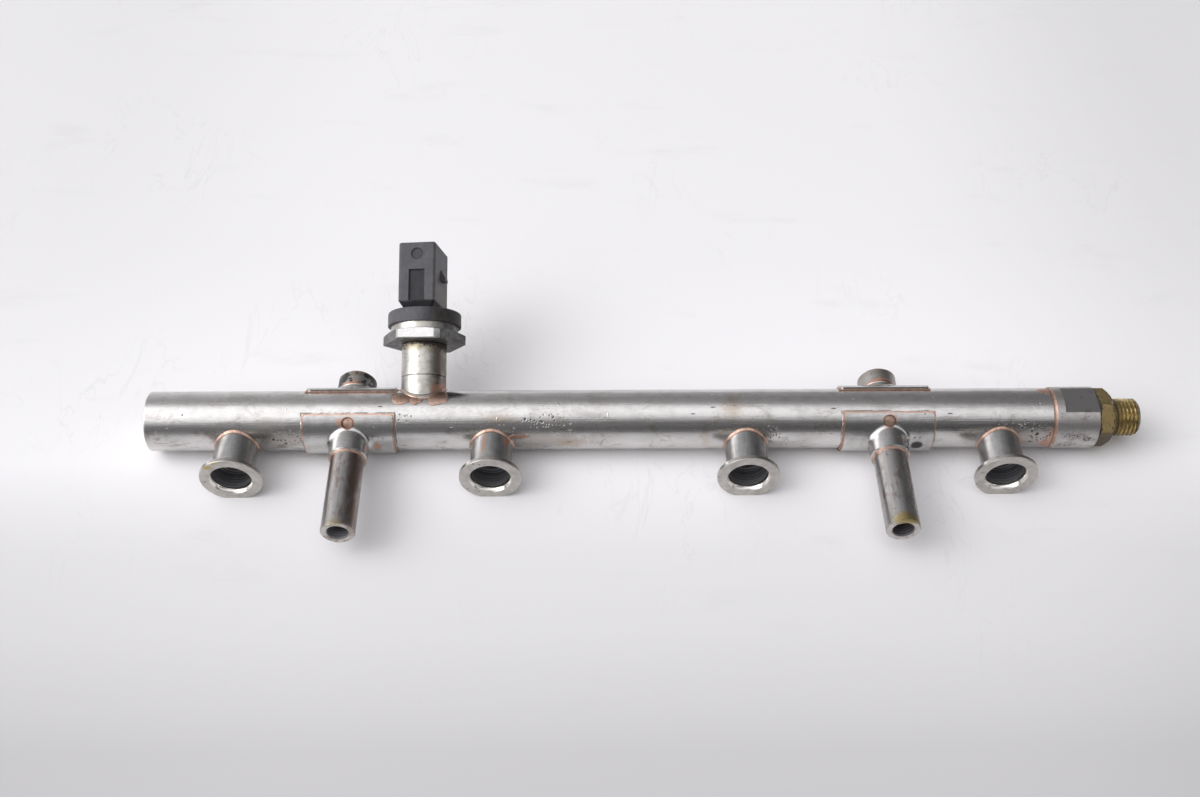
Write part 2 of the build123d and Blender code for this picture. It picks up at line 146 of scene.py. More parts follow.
def newFinish(name):
    finish = bpy.data.materials.new(name)
    finish.use_nodes = True
    finish.node_tree.nodes.clear()
    return finish, Shade(finish.node_tree)


def cover(shade, **values):
    # the surface itself; an underscore stands for the space in a socket's name
    sockets = {key.replace("_", " "): value for key, value in values.items()}
    shade.node("OutputMaterial", {0: shade.node("BsdfPrincipled", sockets)})


def inMillimetres(shade):
    return shade.vector("SCALE", shade.node("TexCoord", out=3), None, None, 1.0 / mm)


def placeIn(shade, origin, turn):
    # the point in a frame with this origin, in millimetres, turned by turn
    spot = tuple(value * mm for value in origin)
    point = {0: shade.node("TexCoord", out=3), 1: spot, 2: turn, 3: (mm, mm, mm)}
    return shade.node("Mapping", point, vector_type="TEXTURE")


def railPlace(shade):
    return placeIn(shade, rail["axisPoint"], (math.radians(rail["lean"]), 0.0, 0.0))


def sensorPlace(shade, turn=None):
    # seen from the tube's axis below the sensor; y goes up the boss unless a turn is given
    origin = (rail["sensorX"], *rail["axisPoint"][1:])
    rise = math.radians(rail["lean"] + rail["sensorRise"])
    return placeIn(shade, origin, turn or (rise, 0.0, 0.0))


def split(place):
    return [place.node("SeparateXYZ", {0: place}, out=axis) for axis in range(3)]


def fromAxis(first, second):
    # distance from the axis that both values are measured from
    return first.maths("SQRT", first * first + second * second)


def fromNearest(x, first, pitch):
    # signed distance along the tube from the nearest piece of a row
    return x.maths("WRAP", x - first, pitch / 2, -pitch / 2)


def fromSleeve(own):
    x = split(own)[0]
    return own.maths("ABSOLUTE", fromNearest(x, rail["leftSleeve"], rail["sleevePitch"]))


def fromVent(own):
    # distance from the axis of the nearest front vent, which leans back at 45 degrees
    y, z = split(own)[1:]
    return fromAxis(fromSleeve(own), (y + z) * math.sqrt(0.5))


def pastPlate(own):
    # how far a point lies outside the outline of the nearest saddle plate
    y, z = split(own)[1:]
    turn = own.maths("ABSOLUTE", own.maths("ARCTAN2", z, own.maths("ABSOLUTE", y)))
    over = (turn - math.radians(rail["saddleWrap"])) * rail["tubeRadius"]
    return (fromSleeve(own) - rail["saddleHalf"]).larger(over)


def grain(place, size, stretch=(1.0, 1.0, 1.0), detail=3.0, rough=0.5, twist=0.0):
    scaled = place.vector("MULTIPLY", place, tuple(value / size for value in stretch))
    return place.node("TexNoise", {0: scaled, 2: 1.0, 3: detail, 4: rough, 8: twist})


def rings(value, scale, detail=2.0):
    # grain along one value only, such as turning leaves
    sockets = {1: value * scale, 2: 1.0, 3: detail}
    return value.node("TexNoise", sockets, noise_dimensions="1D")


def flecks(place, spacing, width, share=0.5):
    # small round marks, in only some of the cells
    cell = {0: place.vector("SCALE", place, None, None, 1.0 / spacing), 2: 1.0}
    near = place.node("TexVoronoi", cell)
    pick = place.node("SeparateColor", {0: place.node("TexVoronoi", cell, out=1)})
    mark = near.step(width / spacing, width / spacing * 0.45)
    return mark * pick.step(1.0 - share, 1.02 - share)


def patch(place, centre, size, ragged, edge=0.3):
    # 1 inside an uneven patch, 0 outside it
    offset = place.vector("SUBTRACT", place, centre)
    far = place.vector("LENGTH", place.vector("DIVIDE", offset, size), out=1)
    return (far + ragged).step(1.0 + edge, 1.0 - edge)


def patches(place, ragged, spots, edge=0.3):
    total = None
    for centre, size in spots:
        one = patch(place, centre, size, ragged, edge)
        total = one if total is None else total.larger(one)
    return total


def relief(height, depth, over=None):
    sockets = {"Strength": 1.0, "Distance": depth * mm, "Height": height, "Normal": over}
    return height.node("Bump", sockets)


def darker(colour, share):
    return tuple(value * share for value in colour)


def tubeSteelFinish():
    look = {
        "bright": (0.66, 0.645, 0.635),
        "dull": (0.52, 0.505, 0.49),
        "copper": (0.56, 0.35, 0.27),
        "varnish": (0.40, 0.30, 0.18),
        "stain": (0.30, 0.265, 0.235),
        "soot": (0.035, 0.032, 0.03),
        "roughness": 0.09,
        # middles and half sizes of the patches
        "copperSpots": (
            ((150.6, -16.6, 14.6), (2.0, 4.0, 2.6)),
            ((149.4, -17.0, 10.4), (3.6, 3.0, 2.8)),
            ((149.6, -0.9, 21.4), (3.8, 2.6, 1.6)),
            ((-46.6, -16.4, 15.0), (3.4, 2.0, 0.8)),
        ),
        "varnishSpots": (
            ((31.8, -8.9, 22.1), (3.4, 5.0, 3.0)),
            ((22.0, -16.6, 14.2), (1.2, 2.0, 4.5)),
            ((-27.8, -17.0, 12.0), (5.0, 2.0, 2.0)),
            ((-54.0, -12.5, 20.5), (6.0, 2.0, 1.2)),
        ),
        "grimeSpots": (
            ((-51.0, -14.7, 18.0), (3.0, 1.8, 1.6)),
            ((45.0, -16.0, 15.0), (4.0, 3.0, 3.4)),
            ((51.7, -17.0, 12.0), (2.4, 2.0, 1.8)),
            ((136.5, -15.0, 17.4), (7.0, 2.4, 1.8)),
            ((143.6, -16.4, 14.6), (8.0, 2.5, 4.0)),
            ((105.3, -4.9, 22.5), (1.2, 1.0, 0.8)),
            ((-132.5, -16.6, 14.5), (8.0, 2.5, 3.0)),
            ((-38.0, -13.0, 20.0), (9.0, 2.5, 2.0)),
            ((-90.0, -12.0, 20.8), (5.0, 1.5, 1.2)),
        ),
        "dullSpots": (
            ((-132.5, -16.6, 14.2), (9.0, 3.0, 3.4)),
            ((-138.0, -14.0, 19.0), (5.0, 2.4, 2.2)),
            ((-36.0, -16.8, 12.5), (14.0, 3.0, 4.0)),
            ((140.0, -16.6, 13.0), (12.0, 3.0, 5.0)),
        ),
    }
    finish, shade = newFinish("tubeSteel")
    place = inMillimetres(shade)
    y = split(place)[1]
    cloud = grain(place, 9.0, detail=4.0, rough=0.6)
    mottle = grain(place, 2.2, (0.5, 1.0, 1.0), detail=4.0, rough=0.65)
    drawn = grain(place, 0.35, (0.015, 1.0, 1.0), detail=2.0)
    hoops = grain(place, 3.0, (1.0, 0.08, 0.08), detail=3.0)
    pitted = grain(place, 0.6, detail=4.0, rough=0.7)
    wavy = grain(place, 2.4, detail=4.0, rough=0.6)
    smudge = grain(place, 6.0, (0.5, 1.0, 1.0), detail=6.0, rough=0.75, twist=0.6)
    ragged = (grain(place, 1.1, detail=3.0) - 0.5) * 1.3

    # copper that ran out at the adapter and beside the front plates
    copper = patches(place, ragged, look["copperSpots"], 0.2)
    outside = pastPlate(railPlace(shade))
    frontSide = y.step(-8.0, -10.0)
    fringe = (outside + (wavy - 0.5) * 2.6).step(0.6, 0.35) * outside.step(1.6, 1.0)
    copper = copper.larger(fringe * frontSide * 0.8)
    varnish = patches(place, ragged, look["varnishSpots"], 0.8) * 0.4
    grimeArea = patches(place, ragged, look["grimeSpots"], 0.6)
    dullArea = patches(place, ragged, look["dullSpots"], 0.8)

    # soot in specks and ticks along the tube; a painted shadow line beside the plates' copper
    specks = flecks(place, 1.1, 0.42, 0.55).larger(flecks(place, 2.1, 0.8, 0.3)) * grimeArea
    strays = flecks(place, 7.0, 0.45, 0.28)
    ticks = flecks(place.vector("MULTIPLY", place, (0.3, 1.3, 1.3)), 2.6, 0.34, 0.3)
    # a painted shadow line beside the plates' copper, in the soot colour
    gapShadow = outside.step(0.4, 0.6) * outside.step(1.1, 0.8) * frontSide
    gapShadow = gapShadow * (cloud * 0.6 + wavy * 0.4).step(0.44, 0.54)
    soot = specks.larger(strays * 0.7).larger(ticks * 0.75).larger(gapShadow * 0.6)
    dings = flecks(place.vector("MULTIPLY", place, (1.5, 0.35, 0.35)), 3.4, 0.4, 0.22)

    worn = (cloud * 0.6 + mottle * 0.4).step(0.36, 0.68)
    stain = smudge.step(0.5, 0.64) * (0.35 + y.step(-9.0, -15.0) * 0.65)
    steel = (worn * 0.75 + dullArea * 0.3).colour(look["bright"], look["dull"])
    steel = (stain * 0.75).larger(dullArea * 0.5).colour(steel, look["stain"])
    steel = varnish.colour(steel, look["varnish"])
    steel = copper.colour(steel, look["copper"])
    steel = soot.colour(steel, look["soot"])
    rough = worn * 0.07 + drawn * 0.07 + hoops * 0.05 + pitted * 0.08 + stain * 0.08
    rough = rough + dullArea * 0.13 + copper * 0.2 + soot * 0.3 + look["roughness"]
    fine = drawn * 0.6 + hoops * 0.35 + mottle * 0.6 + smudge * 0.8 + pitted * 0.5
    bumps = relief(copper - soot * 1.2 + dings * 0.8, 0.12, relief(fine, 0.04))
    cover(shade, Base_Color=steel, Roughness=rough, Metallic=1.0 - soot * 0.8, Normal=bumps)
    return finish


def cupSteelFinish():
    look = {
        "neck": (0.47, 0.465, 0.46),
        "face": (0.58, 0.555, 0.52),
        # painted shade: the bore's dark colours
        "bore": (0.085, 0.083, 0.092),
        "boreRing": (0.24, 0.24, 0.25),
        # painted highlight: the mouth's lighter colour on its flare
        "mouth": (0.76, 0.74, 0.70),
        "copper": (0.56, 0.33, 0.24),
        "gold": (0.50, 0.38, 0.14),
        "grime": (0.06, 0.052, 0.045),
        "wornShare": 0.72,
        "roughness": 0.29,
        "flangeDepth": 2.0,
        "mouthRadius": 7.8,
        "mouthDepth": 2.2,
        "boreRadius": 7.25,
        # middles and half sizes of the patches
        "copperSpots": (
            ((-59.4, -20.7, 17.1), (0.5, 5.0, 1.2)),
            ((-51.2, -18.5, 15.0), (1.2, 2.0, 1.6)),
        ),
        "goldSpots": (
            ((-158.3, -31.8, 17.9), (1.6, 1.0, 0.9)),
            ((-155.2, -31.7, 20.2), (1.2, 1.0, 0.5)),
        ),
        "grimeSpots": (
            ((43.0, -16.5, 14.5), (3.5, 3.5, 4.0)),
            ((136.5, -17.5, 15.0), (3.0, 3.0, 3.0)),
            ((-62.0, -31.0, 19.5), (3.5, 1.5, 1.2)),
        ),
    }
    finish, shade = newFinish("cupSteel")
    place = inMillimetres(shade)
    own = railPlace(shade)
    x, y, z = split(own)
    across = fromNearest(x, rail["firstCup"], rail["cupPitch"])
    radius = fromAxis(across, z + rail["cupDrop"])
    depth = y + rail["cupReach"]
    front = depth.step(0.25, 0.05)
    flange = depth.step(look["flangeDepth"] + 0.2, look["flangeDepth"] - 0.1)
    inside = radius.step(look["mouthRadius"] + 0.05, look["mouthRadius"] - 0.1)
    mouth = inside * depth.step(look["mouthDepth"], look["mouthDepth"] - 0.4)
    # painted shade deep in the bore, past the mouth
    boreShade = radius.step(look["boreRadius"] + 0.15, look["boreRadius"] - 0.15)
    boreShade = boreShade * depth.step(look["mouthDepth"] - 0.2, look["mouthDepth"] + 0.3)
    cloud = grain(place, 3.0, detail=4.0, rough=0.65)
    axial = grain(own, 0.5, (1.0, 0.06, 1.0), detail=3.0)
    faceRings = rings(radius, 6.0)
    boreRings = rings(y, 2.2)
    ragged = (grain(place, 0.8, detail=3.0) - 0.5) * 1.4

    copper = patches(place, ragged, look["copperSpots"], 0.5)
    gold = patches(place, ragged, look["goldSpots"], 0.4) * front
    grimeArea = patches(place, ragged, look["grimeSpots"], 0.5)
    root = y.step(-15.5, -12.0) * 0.5
    grime = (flecks(place, 1.3, 0.5, 0.6) * grimeArea).larger(flecks(place, 3.4, 0.5, 0.35) * 0.6)
    grime = grime.larger(cloud.step(0.62, 0.74) * root)

    neck = (cloud * 0.5 + axial * 0.5).step(0.35, 0.65)
    neck = neck.colour(look["neck"], darker(look["neck"], look["wornShare"]))
    face = (cloud * 0.7 + faceRings * 0.3).step(0.35, 0.7)
    face = face.colour(look["face"], darker(look["face"], look["wornShare"]))
    bore = boreRings.step(0.4, 0.62).colour(look["bore"], look["boreRing"])
    steel = flange.colour(neck, face)
    # a painted highlight: the mouth's flare is lighter than the flange
    steel = mouth.colour(steel, look["mouth"])
    steel = boreShade.colour(steel, bore)
    steel = copper.colour(steel, look["copper"])
    steel = gold.colour(steel, look["gold"])
    steel = grime.colour(steel, look["grime"])
    rough = look["roughness"] - flange * 0.09 + axial * 0.1 - mouth * 0.06
    rough = rough + front * (1.0 - inside) * (0.16 + cloud * 0.16) + boreShade * 0.2 + grime * 0.3
    bumps = axial * 0.6 * (1.0 - flange) + faceRings * front + boreRings * boreShade + cloud * 0.7
    cover(shade, Base_Color=steel, Roughness=rough,
          Metallic=1.0 - grime * 0.7 - boreShade * 0.6, Normal=relief(bumps, 0.04))
    return finish


def sleeveSteelFinish():
    look = {
        "steel": (0.47, 0.455, 0.45),
        "face": (0.58, 0.56, 0.53),
        # painted shade: the bores' colours, darkest in the right sleeve
        "bore": (0.24, 0.24, 0.26),
        "boreShade": (0.05, 0.045, 0.042),
        "tint": (0.20, 0.13, 0.10),
        "varnish": (0.36, 0.28, 0.10),
        "grime": (0.07, 0.06, 0.05),
        "wornShare": 0.74,
        "roughness": 0.24,
        "boreRadius": 3.7,
        "threadsPerMillimetre": 0.9,
        # middles and half sizes of the patches
        "tintSpots": (
            ((-105.2, -34.0, 16.5), (2.4, 16.0, 4.5)),
            ((-104.5, -50.0, 15.5), (2.0, 9.0, 4.5)),
            ((-113.5, -29.0, 16.0), (1.2, 12.0, 3.0)),
        ),
        "varnishSpot": ((90.0, -56.2, 19.6), (5.0, 2.6, 2.4)),
        "thinVarnishSpot": ((-109.5, -56.4, 19.5), (3.0, 1.6, 1.6)),
        "grimeSpot": ((94.0, -42.0, 16.0), (3.4, 16.0, 5.5)),
    }
    finish, shade = newFinish("sleeveSteel")
    place = inMillimetres(shade)
    own = railPlace(shade)
    x, y, z = split(own)
    radius = fromAxis(fromNearest(x, rail["leftSleeve"], rail["sleevePitch"]), z)
    bore = radius.step(look["boreRadius"] + 0.4, look["boreRadius"] + 0.1)
    threads = shade.maths("FRACT", y * look["threadsPerMillimetre"]).step(0.3, 0.7)
    middle = (rail["sleeveBack"] - rail["sleeveFront"]) / 2
    half = (rail["sleeveBack"] + rail["sleeveFront"]) / 2
    end = shade.maths("ABSOLUTE", y - middle).step(half - 0.3, half - 0.05)
    shadedRightBore = x.step(-1.0, 1.0)
    cloud = grain(place, 2.6, (1.0, 0.35, 1.0), detail=4.0, rough=0.65)
    drawn = grain(own, 0.45, (1.0, 0.03, 1.0), detail=3.0)
    rust = grain(place, 3.2, (1.0, 0.4, 1.0), detail=5.0, rough=0.7).step(0.5, 0.64)
    ragged = (grain(place, 1.2, (1.0, 0.4, 1.0), detail=4.0) - 0.5) * 1.4

    tint = patches(place, ragged, look["tintSpots"], 0.7)
    varnish = patch(place, *look["varnishSpot"], ragged, 0.35)
    varnish = varnish.larger(patch(place, *look["thinVarnishSpot"], ragged, 0.5) * 0.5)
    grimeArea = patch(place, *look["grimeSpot"], ragged, 0.5)
    grime = flecks(place, 1.0, 0.46, 0.75) * grimeArea * 0.8
    grime = grime.larger(flecks(place, 3.0, 0.45, 0.35) * 0.6)

    steel = (cloud * 0.5 + drawn * 0.5).step(0.35, 0.66)
    steel = steel.colour(look["steel"], darker(look["steel"], look["wornShare"]))
    steel = end.colour(steel, look["face"])
    steel = (tint * 0.8).larger(rust * 0.55).colour(steel, look["tint"])
    steel = (varnish * 0.85).colour(steel, look["varnish"])
    # the bore's colour with its thread rings, and painted shade, darkest in the right sleeve's
    # bore
    inside = (threads * 0.4 + shadedRightBore * 0.5).colour(look["bore"], look["boreShade"])
    steel = bore.colour(steel, inside)
    steel = grime.colour(steel, look["grime"])
    rough = look["roughness"] + drawn * 0.12 + cloud * 0.08 + end * 0.08
    rough = rough + grime * 0.3 + varnish * 0.1 + bore * 0.2
    bumps = drawn * 0.7 + cloud * 0.6 + threads * bore * 4.0
    cover(shade, Base_Color=steel, Roughness=rough,
          Metallic=1.0 - grime * 0.7 - bore * 0.6, Normal=relief(bumps, 0.04))
    return finish


def saddleSteelFinish():
    look = {
        "steel": (0.60, 0.59, 0.58),
        "dull": (0.47, 0.46, 0.45),
        "copper": (0.60, 0.36, 0.27),
        "soot": (0.06, 0.055, 0.055),
        "scale": (0.035, 0.033, 0.036),
        "tan": (0.30, 0.255, 0.21),
        "collarGrey": (0.34, 0.335, 0.32),
        "roughness": 0.16,
        "collarStart": 12.4,
        "collarRim": 17.0,
        # middles and half sizes of the patches
        "copperSpots": (
            ((-98.9, -18.4, 11.8), (1.3, 2.0, 2.0)),
            ((-111.3, -14.1, 20.5), (1.7, 1.8, 1.8)),
            ((90.4, -20.6, 18.2), (2.0, 1.0, 1.0)),
            ((-109.0, 6.0, 14.0), (2.5, 3.0, 2.0)),
            ((89.0, 6.0, 14.0), (2.5, 3.0, 2.0)),
        ),
        "darkSpot": ((100.3, -18.2, 10.8), (2.2, 2.4, 2.2)),
        "speckSpot": ((98.0, -17.0, 15.5), (4.0, 3.0, 2.0)),
    }
    finish, shade = newFinish("saddleSteel")
    place = inMillimetres(shade)
    own = railPlace(shade)
    x, y = split(own)[:2]
    across = fromSleeve(own)
    vent = fromVent(own)
    outside = pastPlate(own)
    frontOne = y.step(0.0, -2.0)
    leftOne = x.step(1.0, -1.0)
    coarse = grain(place, 4.2, detail=4.0, rough=0.6)
    uneven = coarse - 0.5
    cloud = grain(place, 3.4, detail=4.0, rough=0.6)
    brushed = grain(place, 0.4, (0.05, 1.0, 1.0), detail=3.0)
    turned = rings(y, 2.6, 3.0)
    ragged = (grain(place, 1.0, detail=3.0) - 0.5) * 1.1

    copper = patches(place, ragged, look["copperSpots"], 0.3)
    copper = copper.larger((outside + uneven * 1.2).step(-0.3, -0.12) * frontOne * 0.7)
    copper = copper.larger((vent + uneven * 3.0 + ragged * 0.5).step(2.9, 2.5) * frontOne * 0.7)
    # painted shade in a ring round each front vent's edge
    ventRimShade = vent.step(rail["ventRadius"] + 0.4, rail["ventRadius"] + 0.1) * frontOne
    # a dark round patch beside the right collar, and soot in flecks
    soot = patch(place, *look["darkSpot"], ragged * 0.4, 0.25)
    soot = soot.larger(flecks(place, 3.2, 0.5, 0.35) * 0.5)
    specks = flecks(place, 1.1, 0.4, 0.5) * patch(place, *look["speckSpot"], ragged)
    soot = soot.larger(specks)

    # the drawn collars at the back: furnace scale on the left one, turned rings on both
    collar = y.step(look["collarStart"], look["collarStart"] + 0.8)
    scale = (coarse + across * 0.03).step(0.58, 0.64) * leftOne * collar
    rim = (y + uneven * 4.0).step(look["collarRim"] - 1.2, look["collarRim"])
    rim = rim * collar * (0.35 + leftOne * 0.5)
    splash = (y + uneven * 9.0 + across * 0.5).step(14.8, 14.0)
    splash = splash * y.step(look["collarStart"] - 0.5, look["collarStart"] - 0.1)

    steel = (cloud * 0.7 + brushed * 0.3).step(0.36, 0.66).colour(look["steel"], look["dull"])
    turnedSteel = (turned * 0.6).colour(look["collarGrey"], look["tan"])
    steel = (collar * 0.8).colour(steel, turnedSteel)
    steel = rim.colour(steel, look["tan"])
    steel = copper.larger(splash).colour(steel, look["copper"])
    steel = scale.colour(steel, look["scale"])
    # soot, the dark patch and the painted shade round the vents take the soot colour
    steel = soot.larger(ventRimShade * 0.75).colour(steel, look["soot"])
    rough = look["roughness"] + cloud * 0.12 + brushed * 0.06 + copper * 0.1
    rough = rough + soot * 0.3 + collar * 0.16
    bumps = cloud * 0.9 + brushed * 0.5 + turned * collar * 1.5 + splash * 3.0
    cover(shade, Base_Color=steel, Roughness=rough,
          Metallic=1.0 - soot * 0.7 - scale * 0.6, Normal=relief(bumps, 0.05))
    return finish


def copperFinish():
    look = {
        "clean": (0.64, 0.435, 0.345),
        "dark": (0.36, 0.235, 0.185),
        "silvered": (0.56, 0.47, 0.43),
        "bare": (0.40, 0.375, 0.34),
        "footShade": (0.10, 0.065, 0.05),
        "footHeight": 0.12,
        "roughness": 0.28,
    }
    finish, shade = newFinish("copperBraze")
    place = inMillimetres(shade)
    own = railPlace(shade)
    y, z = split(own)[1:]
    height = fromAxis(y, z) - rail["tubeRadius"]
    cloud = grain(place, 2.2, detail=4.0, rough=0.65)
    fine = grain(place, 0.45, detail=4.0, rough=0.6)
    tone = (cloud * 0.6 + fine * 0.4).step(0.38, 0.64)
    copper = tone.colour(look["clean"], look["dark"])
    silvered = grain(place, 1.4, detail=2.0).step(0.58, 0.7) * 0.6
    copper = silvered.colour(copper, look["silvered"])
    # bare steel shows through in front of the sensor's boss
    bossX, bossZ = split(sensorPlace(shade))[::2]
    bare = bossX.step(-10.5, -9.0) * bossX.step(4.5, 2.5) * bossZ.step(1.0, 3.0)
    bare = bare * height.step(0.25, 0.4) * cloud.step(0.68, 0.56)
    copper = bare.colour(copper, look["bare"])
    # painted shade where it meets the tube, and in a ring at the front vents' edges
    footShade = (height + (fine - 0.5) * 0.2).step(look["footHeight"], 0.0) * 0.8
    vent = fromVent(own)
    ventRingShade = (vent + (fine - 0.5) * 0.4).step(rail["ventRadius"] - 0.5, rail["ventRadius"] - 0.1)
    ventRingShade = ventRingShade * vent.step(rail["ventRadius"] + 0.3, rail["ventRadius"] + 0.1)
    footShade = footShade.larger(ventRingShade * y.step(0.0, -2.0) * 0.6)
    copper = footShade.colour(copper, look["footShade"])
    cover(shade, Base_Color=copper, Roughness=look["roughness"] + tone * 0.2,
          Metallic=1.0 - footShade * 0.5, Normal=relief(fine * 0.8 + cloud, 0.12))
    return finish


def bossSteelFinish():
    look = {
        "steel": (0.54, 0.525, 0.49),
        "dull": (0.38, 0.365, 0.33),
        "copper": (0.44, 0.27, 0.20),
        "grime": (0.045, 0.035, 0.028),
        "oil": (0.42, 0.34, 0.18),
        "brownTintAndShade": (0.15, 0.12, 0.10),
        "roughness": 0.24,
    }
    finish, shade = newFinish("bossSteel")
    place = inMillimetres(shade)
    x, y = split(sensorPlace(shade))[:2]
    cloud = grain(place, 2.6, detail=4.0, rough=0.65)
    turned = rings(y, 5.0)
    # oil and grime below the hexagon; copper, and a brown tint with painted shade at the right
    # side
    oily = (y + (cloud - 0.5) * 5.0).step(24.2, 27.0)
    crust = grain(place, 1.0, detail=4.0, rough=0.7) - 0.5
    grime = (y + crust * 6.0 + x * 0.16).step(26.2, 28.2)
    grime = grime.larger(flecks(place, 1.6, 0.5, 0.45) * y.step(20.0, 24.0))
    copper = (y + (grain(place, 2.2, detail=3.0) - 0.5) * 6.0).step(13.4, 12.2)
    copper = copper * x.step(2.5, 4.5)
    brownTintAndShade = x.step(2.5, 6.5) * 0.85 + (cloud - 0.5) * x.step(1.0, 5.0) * 0.8
    steel = cloud.step(0.36, 0.7).colour(look["steel"], look["dull"])
    steel = (oily * 0.5).colour(steel, look["oil"])
    steel = brownTintAndShade.colour(steel, look["brownTintAndShade"])
    steel = copper.colour(steel, look["copper"])
    steel = grime.colour(steel, look["grime"])
    rough = look["roughness"] + cloud * 0.12 + turned * 0.06 + grime * 0.35 + copper * 0.15
    bumps = turned * 0.7 + cloud * 0.5 + grime * 2.0
    cover(shade, Base_Color=steel, Roughness=rough,
          Metallic=1.0 - grime * 0.8, Normal=relief(bumps, 0.05))
    return finish


def sensorSteelFinish():
    look = {
        "steel": (0.70, 0.695, 0.69),
        "shoulder": (0.46, 0.44, 0.40),
        "dull": (0.60, 0.59, 0.58),
        "grime": (0.04, 0.037, 0.035),
        "roughness": 0.2,
        "hexBottom": 28.55,
        "hexTop": 32.85,
        "cleanFlat": 13.1,
    }
    finish, shade = newFinish("sensorSteel")
    place = inMillimetres(shade)
    x, y, z = split(sensorPlace(shade))
    cloud = grain(place, 2.4, detail=4.0, rough=0.65)
    fine = grain(place, 0.3, detail=3.0)
    uneven = (cloud - 0.5) * 2.0
    # the front flat is rubbed bright; the other flats, the underside and the edges are grimy
    #     # and carry painted shade, darkest on the flats turned from the light
    flat = (z + x * -0.15 + uneven * 0.15).step(look["cleanFlat"] - 0.5, look["cleanFlat"])
    rubbed = flat * (y + uneven * 0.4).step(look["hexBottom"] + 0.25, look["hexBottom"] + 0.7)
    along = x + uneven * 0.2
    rubbed = rubbed * (along.step(5.2, 4.6) * 0.75 + along.step(7.7, 7.0) * 0.25)
    neat = (y + uneven * 0.25).step(look["hexTop"] - 0.1, look["hexTop"] + 0.35)
    neat = neat * (x + uneven).step(9.5, 3.0)
    # grime with painted shade on all but the front flat and the shoulder
    grime = (1.0 - rubbed.larger(neat)) * (0.84 + uneven * 0.3)
    grime = grime.larger(cloud.step(0.66, 0.78) * 0.5).larger(flecks(place, 2.2, 0.4, 0.4) * 0.7)
    steel = (cloud * 0.6 + fine * 0.4).step(0.36, 0.66).colour(look["steel"], look["dull"])
    steel = neat.colour(steel, look["shoulder"])
    steel = grime.smaller(1.0).colour(steel, look["grime"])
    rough = look["roughness"] + cloud * 0.14 + grime * 0.25
    bumps = fine * 0.5 + cloud * 0.6 + grime * 0.8
    cover(shade, Base_Color=steel, Roughness=rough,
          Metallic=1.0 - grime * 0.55, Normal=relief(bumps, 0.05))
    return finish


def blackPlasticFinish():
    look = {
        "plastic": (0.088, 0.086, 0.096),
        "dusty": (0.13, 0.128, 0.135),
        "dark": (0.012, 0.012, 0.013),
        "mud": (0.20, 0.165, 0.125),
        "roughness": 0.45,
        "shine": 0.2,
        # the connector's turn and shift, its lower edge, and what is sunk in its front
        "turn": -7.2,
        "shift": 0.8,
        "bottom": 43.7,
        "panelHalf": 2.95,
        "panelTop": 55.6,
        "markHeight": 61.6,
        "markRadius": 2.1,
    }
    finish, shade = newFinish("blackPlastic")
    place = inMillimetres(shade)
    rise = math.radians(rail["lean"] + rail["sensorRise"])
    up = Vector((0.0, math.cos(rise), math.sin(rise)))
    across = Matrix.Rotation(math.radians(look["turn"]), 3, up) @ Vector((1.0, 0.0, 0.0))
    turn = Matrix((across, up.cross(across), up)).transposed().to_euler()
    x, y, z = split(sensorPlace(shade, tuple(turn)))
    x = x + look["shift"]
    cloud = grain(place, 5.0, detail=4.0, rough=0.6)
    smear = grain(place, 1.6, (1.0, 0.5, 0.5), detail=4.0, rough=0.7)
    spark = grain(place, 0.16, detail=2.0)
    dust = (cloud * 0.5 + smear * 0.5).step(0.4, 0.68)
    scuffs = flecks(place, 2.6, 0.5, 0.3)

    onFront = y.step(-9.0, -9.5)
    # painted shade in the sunk panel, in a ring round the sunk mark, just under the lower edge and
    # low on the right; the mark itself a little darker
    panel = shade.maths("ABSOLUTE", x).step(look["panelHalf"] + 0.12, look["panelHalf"] - 0.12)
    panel = panel * z.step(look["panelTop"] + 0.12, look["panelTop"] - 0.12) * onFront
    panel = panel * z.step(look["bottom"] - 0.1, look["bottom"])
    far = fromAxis(z - look["markHeight"], x)
    mark = far.step(look["markRadius"] + 0.1, look["markRadius"] - 0.1) * onFront
    rim = shade.maths("ABSOLUTE", far - look["markRadius"]).step(0.3, 0.05) * onFront
    under = (z + (cloud - 0.5) * 1.5).step(look["bottom"] + 0.3, look["bottom"] - 0.6)
    under = under * z.step(40.4, 41.0)
    base = z.step(look["bottom"] - 2.8, look["bottom"] - 3.2) * x.step(1.0, 9.0)
    mud = x.step(6.6, 6.9) * (z + (cloud - 0.5) * 12.0).step(56.0, 49.0)
    mud = mud * (smear * 0.6 + spark * 0.4).step(0.4, 0.6)

    tone = (dust * 0.75).colour(look["plastic"], look["dusty"])
    tone = (mud * 0.8).colour(tone, look["mud"])
    # scuffs, and the painted shade in the sunk panel, round the mark, under the edge and at the
    # base
    dark = (scuffs * 0.5).larger(panel * (0.75 + (smear - 0.5) * 0.7))
    dark = dark.larger(mark * 0.35).larger(rim * 0.8).larger(under * 0.8).larger(base * 0.7)
    tone = dark.smaller(1.0).colour(tone, look["dark"])
    rough = look["roughness"] + dust * 0.16 + (spark - 0.5) * 0.1 - panel * 0.06
    cover(shade, Base_Color=tone, Roughness=rough, Specular_IOR_Level=look["shine"],
          Normal=relief(spark * 0.6 + cloud * 1.4, 0.04))
    return finish


def sealRubberFinish():
    look = {"rubber": (0.018, 0.017, 0.017), "dusty": (0.06, 0.057, 0.055), "roughness": 0.5}
    finish, shade = newFinish("sealRubber")
    place = inMillimetres(shade)
    dust = grain(place, 1.2, detail=4.0).step(0.4, 0.7)
    cover(shade, Base_Color=(dust * 0.6).colour(look["rubber"], look["dusty"]),
          Roughness=look["roughness"] + dust * 0.2, Normal=relief(grain(place, 0.3), 0.03))
    return finish


